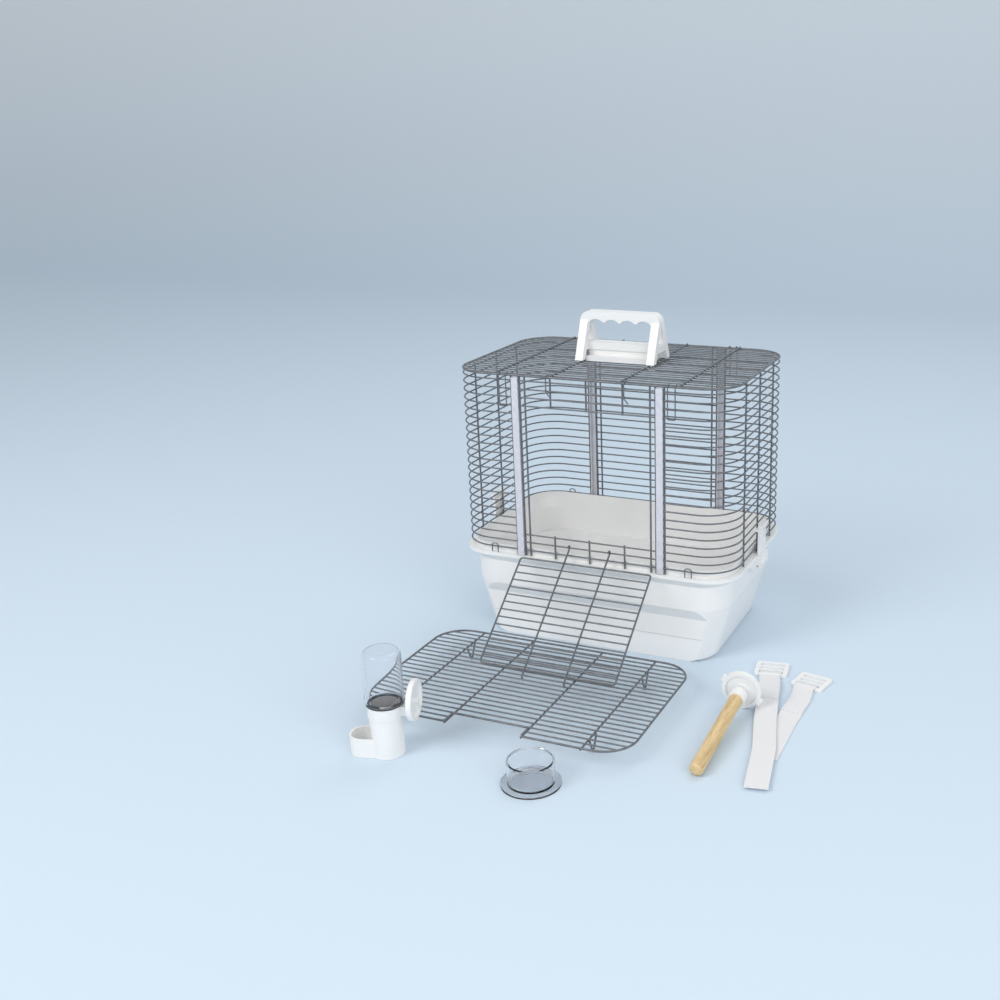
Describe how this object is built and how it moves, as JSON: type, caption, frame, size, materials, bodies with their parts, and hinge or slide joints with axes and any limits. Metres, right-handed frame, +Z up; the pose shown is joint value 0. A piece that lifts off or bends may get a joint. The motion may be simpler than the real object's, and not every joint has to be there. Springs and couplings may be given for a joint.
{
  "type": "bird cage",
  "caption": "Small wire bird cage on a white tub, with a fold-down front door and carry handle, laid out with its floor grille, water bottle, food cup, perch and straps.",
  "frame": {"origin": "the middle of the tub's flat underside", "axes": "+X to the cage's right seen from its front, +Y from the front to the back, +Z up"},
  "size_m": [0.4759, 0.5593, 0.3959],
  "materials": {
    "white_plastic": "white injection moulded plastic, satin gloss",
    "wire": "dark grey coated steel wire",
    "strip_metal": "light grey coated steel strip",
    "clear_plastic": "clear polystyrene",
    "wood": "plain turned wood",
    "webbing": "white woven webbing",
    "steel": "plain steel"
  },
  "bodies": {
    "cage": {"base_tub": "white_plastic", "latch_pins": "steel", "rim_staples": "wire", "back_wires": "wire", "side_wires_left": "wire", "side_wires_right": "wire", "front_lower_wires": "wire", "front_upper_wires": "wire", "front_posts_left": "wire", "front_posts_right": "wire", "roof_wires": "wire", "roof_hooks": "wire", "carry_handle": "white_plastic", "handle_plate": "white_plastic", "handle_clamp_bars": "white_plastic", "handle_screws": "steel", "floor_grille": "wire", "grille_legs": "wire", "strap_band_lower": "webbing", "strap_buckle_lower": "white_plastic", "strap_band_upper": "webbing", "strap_buckle_upper": "white_plastic", "corner_wires_front_left": "wire", "corner_wires_front_right": "wire", "corner_wires_back_left": "wire", "corner_wires_back_right": "wire", "joint_strip_front_left": "strip_metal", "joint_strip_front_right": "strip_metal", "joint_strip_back_left": "strip_metal", "joint_strip_back_right": "strip_metal", "roof_clip_front_left": "wire", "roof_clip_front_right": "wire", "roof_clip_back_left": "wire", "roof_clip_back_right": "wire"},
    "front_door": {"door_wires": "wire", "door_hinge_hooks": "wire", "door_catch_hooks": "wire"},
    "latch_left": {"latch_left": "white_plastic"},
    "latch_right": {"latch_right": "white_plastic"},
    "water_bottle": {"bottle_drinker": "white_plastic", "bottle_collar": "white_plastic", "bottle_arm": "white_plastic"},
    "bottle_tank": {"bottle_tank": "clear_plastic"},
    "bottle_clamp": {"bottle_clamp_disc": "white_plastic"},
    "food_cup": {"food_cup": "clear_plastic"},
    "perch": {"perch_dowel": "wood", "perch_cap": "white_plastic", "perch_screw": "steel"},
    "perch_nut": {"perch_disc": "white_plastic"}
  },
  "joints": [
    {"name": "front_door_hinge", "type": "hinge", "parent": "cage", "child": "front_door", "pos_m": [0, -0.113, 0.13], "axis": [-1, 0, 0], "range_deg": [0, 127.5]},
    {"name": "latch_left_hinge", "type": "hinge", "parent": "cage", "child": "latch_left", "pos_m": [-0.1796, 0, 0.099], "axis": [0, -1, 0], "range_deg": [0, 60]},
    {"name": "latch_right_hinge", "type": "hinge", "parent": "cage", "child": "latch_right", "pos_m": [0.1796, 0, 0.099], "axis": [0, 1, 0], "range_deg": [0, 60]},
    {"name": "water_bottle_lift", "type": "slide", "parent": "cage", "child": "water_bottle", "axis": [0, 0, 1], "range_m": [0, 0.1]},
    {"name": "bottle_tank_pull", "type": "slide", "parent": "water_bottle", "child": "bottle_tank", "axis": [0, 0, 1], "range_m": [0, 0.04]},
    {"name": "bottle_clamp_turn", "type": "hinge", "parent": "water_bottle", "child": "bottle_clamp", "pos_m": [-0.06906, -0.40398, 0.062], "axis": [0.9659, 0.2588, 0], "continuous": true},
    {"name": "food_cup_lift", "type": "slide", "parent": "cage", "child": "food_cup", "axis": [0, 0, 1], "range_m": [0, 0.1]},
    {"name": "perch_lift", "type": "slide", "parent": "cage", "child": "perch", "axis": [0, 0, 1], "range_m": [0, 0.1]},
    {"name": "perch_nut_turn", "type": "hinge", "parent": "perch", "child": "perch_nut", "pos_m": [0.2135, -0.18969, 0.02232], "axis": [0, -0.9956, -0.094], "range_deg": [0, 20]}
  ]
}
